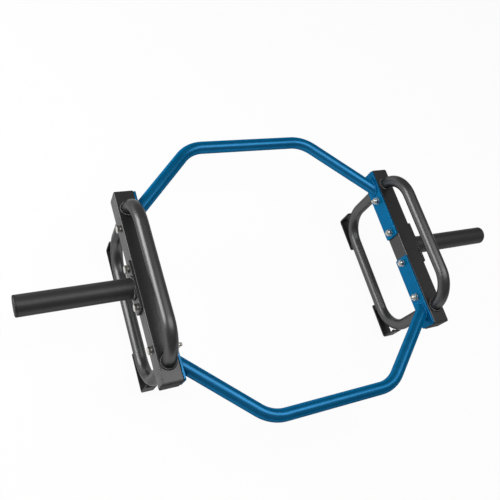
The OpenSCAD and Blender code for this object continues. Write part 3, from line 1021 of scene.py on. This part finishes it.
def nuts(bm, settings):
    """Hexagon lock nuts with a rolled collar over a nylon ring, each turned its own way."""
    sizes = settings.fasteners
    bore = (sizes.bolt_d + sizes.bore_gap) / 2
    flats, height, collar = sizes.flats, sizes.nut, sizes.collar
    rim = sizes.collar_d / 2
    crown = flats / 2 * CROWN
    ring_z = 0.0012
    sink = 0.0007
    # From the nylon ring over the collar and the hexagon, and back through the bore
    steps = [(bore, ring_z), (rim - 0.0014, ring_z), (rim - 0.0012, 0.0002), (rim - 0.0008, 0),
             (rim - 0.0003, 0.0002), (rim, 0.0008), (rim, collar - 0.0003),
             (rim + 0.0003, collar), (crown, collar), (None, chamfered(collar, flats, -1)),
             (None, chamfered(height, flats, 1)), (crown, height), (bore + sink, height),
             (bore, height - sink), (bore, ring_z)]
    for y in bolt_rows(sizes):
        one = bmesh.new()
        hex_rings(one, flats, steps)
        bmesh.ops.remove_doubles(one, verts=one.verts, dist=MERGE)
        turn = Matrix.Rotation(4.1 * y / sizes.near, 4, "Z")
        join(bm, one, along_x(BRACKET_IN - sizes.washer_t - height, y) @ turn)


def ripple(sizes, travelled):
    """Thickness of a bead, as a share, at a length travelled along it."""
    fullness = 0.6
    wave = abs(math.sin(math.pi * travelled / sizes.ripple)) ** fullness
    return 1 - sizes.depth + sizes.depth * wave


def weld(bm, sizes, corner_at, travel, leg, closed):
    """Lays a rippled bead along a corner, which is given by a share of the way along it.

    corner_at gives the point in the corner and the normals of the two surfaces there.
    """
    per_ripple = 6
    count = max(3, round(travel / sizes.ripple)) * per_ripple
    # The section's radius as a share of the leg, and how far it sits off the corner
    thickness = 0.74 * leg
    out_of_corner = 0.3
    little = 0.001
    # An open bead starts thin, and is full within a tenth of its length
    thin, swell = 0.25, 10
    places = []
    for i in range(count + 1):
        along = i / count
        point, first, second = corner_at(along)
        ahead = corner_at(along + little)[0] - corner_at(along - little)[0]
        taper = 1 if closed else min(1, thin + swell * along, thin + swell * (1 - along))
        radius = thickness * taper * ripple(sizes, i * sizes.ripple / per_ripple)
        both = first + second
        middle = point + both * out_of_corner * radius / (1 + first.dot(second))
        places.append(bead_place(middle, ahead, both, radius))
    one = bmesh.new()
    loop = ring(one, 1, places[0], 12)
    for before, after in zip(places, places[1:]):
        loop = run(one, loop)
        bmesh.ops.transform(one, verts=ends_of(loop), matrix=after @ before.inverted())
    if closed:
        bmesh.ops.remove_doubles(one, verts=one.verts, dist=30 * MERGE)
    else:
        close(one)
    join(bm, one, Matrix())


def bead_place(point, tangent, side, thickness):
    """A scaled place for a bead's round section."""
    forward = tangent.normalized()
    across = (side - side.dot(forward) * forward).normalized()
    place = frame_of(across, forward.cross(across), forward, point)
    return place @ Matrix.Diagonal((thickness, thickness, 1, 1))


def grip_welds(bm, settings, surface, up, rise):
    """Beads round the two ends of a grip, where it stands on the beam."""
    sizes = settings.welds
    bend_r = settings.grips.bend
    # Where the tube already bends at the height of its bead, the bead moves inwards with it
    above = max(0, abs(surface - AXIS_Z) + sizes.grip / 3 - rise + bend_r)
    lean = bend_r - math.sqrt(bend_r ** 2 - above ** 2)
    for y in (1, -1):
        middle = Vector((BEAM_MID, y * (GRIP_HALF - lean), surface))

        def corner_at(along):
            angle = 2 * math.pi * along
            out = Vector((math.cos(angle), math.sin(angle), 0))
            return middle + GRIP_R * out, out, Vector((0, 0, up))

        weld(bm, sizes, corner_at, 2 * math.pi * GRIP_R, sizes.grip, True)


def raised_grip_welds(bm, settings):
    """Beads on top of the beam."""
    grip_welds(bm, settings, BEAM_TOP, 1, RAISED_RISE)


def lower_grip_welds(bm, settings):
    """Beads under the beam."""
    grip_welds(bm, settings, BEAM_UNDER, -1, LOWER_DROP)


def sleeve_weld(bm, settings):
    """Two crescents between the sleeve and its flange, at the front and at the rear."""
    sizes = settings.welds
    reach = math.radians(66)
    for y in (1, -1):

        def corner_at(along):
            angle = reach * (2 * along - 1)
            out = Vector((0, y * math.cos(angle), math.sin(angle)))
            return Vector((FLANGE_OUT, 0, AXIS_Z)) + SLEEVE_R * out, out, Vector((1, 0, 0))

        weld(bm, sizes, corner_at, 2 * reach * SLEEVE_R, sizes.sleeve, False)


def frame_welds(bm, settings):
    """Beads round both ends of a frame tube, where it meets its brackets at a slant."""
    sizes, tubes = settings.welds, settings.tubes
    slant = frame_slant(tubes)
    for x in (1, -1):

        def corner_at(along):
            angle = 2 * math.pi * along
            over = math.cos(angle)
            out = Vector((x * math.sin(slant) * over, math.cos(slant) * over, math.sin(angle)))
            down = Vector((x * math.cos(slant), -math.sin(slant), 0))
            end = Vector((x * BRACKET_IN, tubes.joint, AXIS_Z))
            point = end + FRAME_R * (out - down * math.tan(slant) * over)
            return point, out, Vector((-x, 0, 0))

        around = math.pi * FRAME_R * (1 + 1 / math.cos(slant))
        weld(bm, sizes, corner_at, around, sizes.tube, True)


def foot_welds(bm, settings):
    """Short beads on both sides of the tube, along the ends of the two foot plates."""
    sizes, thickness = settings.welds, settings.grips.foot_thickness
    gap = sizes.foot
    leg = 0.8 * gap
    clear = 0.001
    level_run, upright_run = 0.016, 0.011
    aside = math.sqrt(GRIP_R ** 2 - (GRIP_R - gap) ** 2)
    start_y = foot_low.y + clear
    level_z = thickness + gap / 2
    upright_y = foot_high.y - thickness - gap / 2
    top_z = foot_high.z - clear
    stretches = [(Vector((0, start_y, level_z)), Vector((0, start_y + level_run, level_z))),
                 (Vector((0, upright_y, top_z - upright_run)), Vector((0, upright_y, top_z)))]
    for x in (1, -1):
        out = Vector((x, 0, 0))
        for y in (1, -1):
            for first, last in stretches:

                def corner_at(along):
                    point = first.lerp(last, along) * Vector((1, y, 1))
                    return point + Vector((BEAM_MID + x * aside, 0, 0)), out, out

                weld(bm, sizes, corner_at, (last - first).length, leg, False)


# Operators: one for each kind of piece

class TRAPBAR_OT_side_beams(Operator):
    """Builds the two square side beams"""
    bl_idname = "trapbar.side_beams"
    bl_label = "Side Beams"

    def execute(self, context):
        return make(context, side_beam, beam_coat)


class TRAPBAR_OT_beam_plugs(Operator):
    """Builds the four square plugs in the beams' ends"""
    bl_idname = "trapbar.beam_plugs"
    bl_label = "Beam Plugs"

    def execute(self, context):
        return make(context, beam_plug, plug_plastic, QUARTERS)


class TRAPBAR_OT_raised_grips(Operator):
    """Builds the two grips on top of the beams and their weld beads"""
    bl_idname = "trapbar.raised_grips"
    bl_label = "Raised Grips"

    def execute(self, context):
        make(context, raised_grip, grip_coat)
        return make(context, raised_grip_welds, weld_coat)


class TRAPBAR_OT_lower_grips(Operator):
    """Builds the two grips under the beams and their weld beads"""
    bl_idname = "trapbar.lower_grips"
    bl_label = "Lowered Grips"

    def execute(self, context):
        make(context, lower_grip, grip_coat)
        return make(context, lower_grip_welds, weld_coat)


class TRAPBAR_OT_feet(Operator):
    """Builds the four bent foot plates and their weld beads"""
    bl_idname = "trapbar.feet"
    bl_label = "Feet"

    def execute(self, context):
        make(context, foot, foot_coat, QUARTERS)
        return make(context, foot_welds, weld_coat)


class TRAPBAR_OT_frame_tubes(Operator):
    """Builds the bent tubes at the front and the rear and their weld beads"""
    bl_idname = "trapbar.frame_tubes"
    bl_label = "Frame Tubes"

    def execute(self, context):
        make(context, frame_tube, frame_paint, ENDS)
        return make(context, frame_welds, frame_paint, ENDS)


class TRAPBAR_OT_brackets(Operator):
    """Builds the four bracket plates at the ends of the frame tubes"""
    bl_idname = "trapbar.brackets"
    bl_label = "Brackets"

    def execute(self, context):
        return make(context, bracket, frame_paint, QUARTERS)


class TRAPBAR_OT_sleeves(Operator):
    """Builds the two sleeves with their flanges, plugs and weld beads"""
    bl_idname = "trapbar.sleeves"
    bl_label = "Sleeves"

    def execute(self, context):
        make(context, sleeve, sleeve_coat)
        make(context, sleeve_flange, beam_coat)
        make(context, sleeve_plug, plug_plastic)
        return make(context, sleeve_weld, weld_coat)


class TRAPBAR_OT_fasteners(Operator):
    """Builds the bolts, washers and nuts"""
    bl_idname = "trapbar.fasteners"
    bl_label = "Fasteners"

    def execute(self, context):
        for build in (bolts, outer_washers, inner_washers, nuts):
            make(context, build, zinc_plating)
        return {"FINISHED"}


class TRAPBAR_OT_stage(Operator):
    """Sets up the floor, the lamps, the surroundings and the camera"""
    bl_idname = "trapbar.stage"
    bl_label = "Stage"

    def execute(self, context):
        settings = context.scene.trap_bar.stage
        lay_floor(settings)
        surroundings(context.scene, settings)
        hang_lamp("side_lamp", SIDE_LAMP, SIDE_LAMP_SIZE, settings.side)
        hang_lamp("top_lamp", TOP_LAMP, TOP_LAMP_SIZE, settings.top)
        set_camera(context.scene)
        return {"FINISHED"}


# Stage: floor, surroundings, lamps and camera

def seen(tree, mirrored=1.0):
    """1 for rays of the camera and rays that passed glass, a share for mirrored rays, or 0."""
    path = tree.nodes.new("ShaderNodeLightPath")
    glossy = math_node(tree, "MULTIPLY", path.outputs["Is Glossy Ray"], mirrored)
    total = math_node(tree, "ADD", path.outputs["Is Camera Ray"], glossy)
    return math_node(tree, "ADD", total, path.outputs["Is Transmission Ray"], clamp=True)


def lay_floor(settings):
    """A wide pale floor that keeps a faint shadow, and is clear from below."""
    reach = 12
    pale = 0.9
    under_feet = Matrix.Translation((0, 0, -0.0002))
    bm = bmesh.new()
    bmesh.ops.create_grid(bm, x_segments=4, y_segments=4, size=reach, matrix=under_feet)
    floor = as_object(bm, "floor")
    bm.free()
    material = bpy.data.materials.new("pale_floor")
    material.use_nodes = True
    tree = material.node_tree
    tree.nodes.clear()
    matt = fill(tree, tree.nodes.new("ShaderNodeBsdfDiffuse"), Color=(pale, pale, pale, 1))
    glow = fill(tree, tree.nodes.new("ShaderNodeEmission"), Strength=1)
    clear = tree.nodes.new("ShaderNodeBsdfTransparent")
    side = tree.nodes.new("ShaderNodeNewGeometry")
    white = math_node(tree, "MULTIPLY", seen(tree), settings.whiteness)
    top = mix_shaders(tree, white, matt.outputs[0], glow.outputs[0])
    surface = mix_shaders(tree, side.outputs["Backfacing"], top, clear.outputs[0])
    fill(tree, tree.nodes.new("ShaderNodeOutputMaterial"), Surface=surface)
    floor.data.materials.append(material)


def mix_shaders(tree, *inputs):
    """A mix by a factor, from a first shader to a second one."""
    node = tree.nodes.new("ShaderNodeMixShader")
    for socket, value in zip(node.inputs, inputs):
        tree.links.new(value, socket)
    return node.outputs[0]


def surroundings(scene, settings):
    """Surroundings that look white and fill the shadows softly."""
    world = bpy.data.worlds.new("surroundings")
    scene.world = world
    world.use_nodes = True
    tree = world.node_tree
    strength = spread(tree, seen(tree, settings.gleam), 0.0, 1.0, settings.ambient, 1.0)
    fill(tree, tree.nodes["Background"], Color=(1, 1, 1, 1), Strength=strength)


def hang_lamp(name, place, size, watts):
    """A soft rectangular lamp that looks at the middle of the bar."""
    lamp = bpy.data.lights.new(name, "AREA")
    lamp.shape = "RECTANGLE"
    lamp.size, lamp.size_y = size
    lamp.energy = watts
    hung = bpy.data.objects.new(name, lamp)
    back = (place - Vector((0, 0, AXIS_Z))).normalized()
    across = Vector((0, 1, 0)).cross(back).normalized()
    hung.matrix_world = frame_of(across, back.cross(across), back, place)
    bpy.context.scene.collection.objects.link(hung)


def set_camera(scene):
    """The photograph's viewpoint."""
    lens = bpy.data.cameras.new("camera")
    lens.sensor_width = SENSOR
    lens.lens = FOCAL / PHOTO * SENSOR
    lens.shift_x = (PHOTO / 2 - MIDDLE_X) / PHOTO
    lens.shift_y = (MIDDLE_Y - PHOTO / 2) / PHOTO
    eye = bpy.data.objects.new("camera", lens)
    eye.matrix_world = frame_of(EYE_RIGHT, -EYE_DOWN, -EYE_RIGHT.cross(EYE_DOWN), EYE)
    scene.collection.objects.link(eye)
    scene.camera = eye


# Sidebar and registration

OPERATORS = (TRAPBAR_OT_side_beams, TRAPBAR_OT_beam_plugs, TRAPBAR_OT_raised_grips,
             TRAPBAR_OT_lower_grips, TRAPBAR_OT_feet, TRAPBAR_OT_frame_tubes,
             TRAPBAR_OT_brackets, TRAPBAR_OT_sleeves, TRAPBAR_OT_fasteners, TRAPBAR_OT_stage)
GROUPS = ("beams", "grips", "tubes", "plates", "sleeves", "fasteners", "welds", "finishes",
          "stage")


class TRAPBAR_PT_sidebar(Panel):
    """Lists the pieces of the trap bar and their sizes"""
    bl_idname = "TRAPBAR_PT_sidebar"
    bl_label = "Hex Trap Bar"
    bl_space_type = "VIEW_3D"
    bl_region_type = "UI"
    bl_category = "Trap Bar"

    def draw(self, context):
        settings = context.scene.trap_bar
        for name in GROUPS:
            group = getattr(settings, name)
            box = self.layout.box()
            box.label(text=settings.bl_rna.properties[name].name)
            for field in group.bl_rna.properties:
                if field.identifier not in {"rna_type", "name"}:
                    box.prop(group, field.identifier)
        for operator in OPERATORS:
            self.layout.operator(operator.bl_idname)


CLASSES = (BeamSizes, GripSizes, TubeFrameSizes, PlateSizes, SleeveSizes, FastenerSizes,
           WeldSizes, Finishes, StageLight, TrapBarSettings, *OPERATORS, TRAPBAR_PT_sidebar)


def register():
    """Makes the settings, the operators and the panel known."""
    for known in CLASSES:
        bpy.utils.register_class(known)
    bpy.types.Scene.trap_bar = PointerProperty(type=TrapBarSettings)


def unregister():
    """Takes them away again."""
    del bpy.types.Scene.trap_bar
    for known in reversed(CLASSES):
        bpy.utils.unregister_class(known)


def main():
    """Builds every piece in order."""
    register()
    bpy.context.scene.view_settings.view_transform = "Standard"
    bpy.ops.trapbar.side_beams()
    bpy.ops.trapbar.beam_plugs()
    bpy.ops.trapbar.raised_grips()
    bpy.ops.trapbar.lower_grips()
    bpy.ops.trapbar.feet()
    bpy.ops.trapbar.frame_tubes()
    bpy.ops.trapbar.brackets()
    bpy.ops.trapbar.sleeves()
    bpy.ops.trapbar.fasteners()
    bpy.ops.trapbar.stage()


if __name__ == "__main__":
    main()
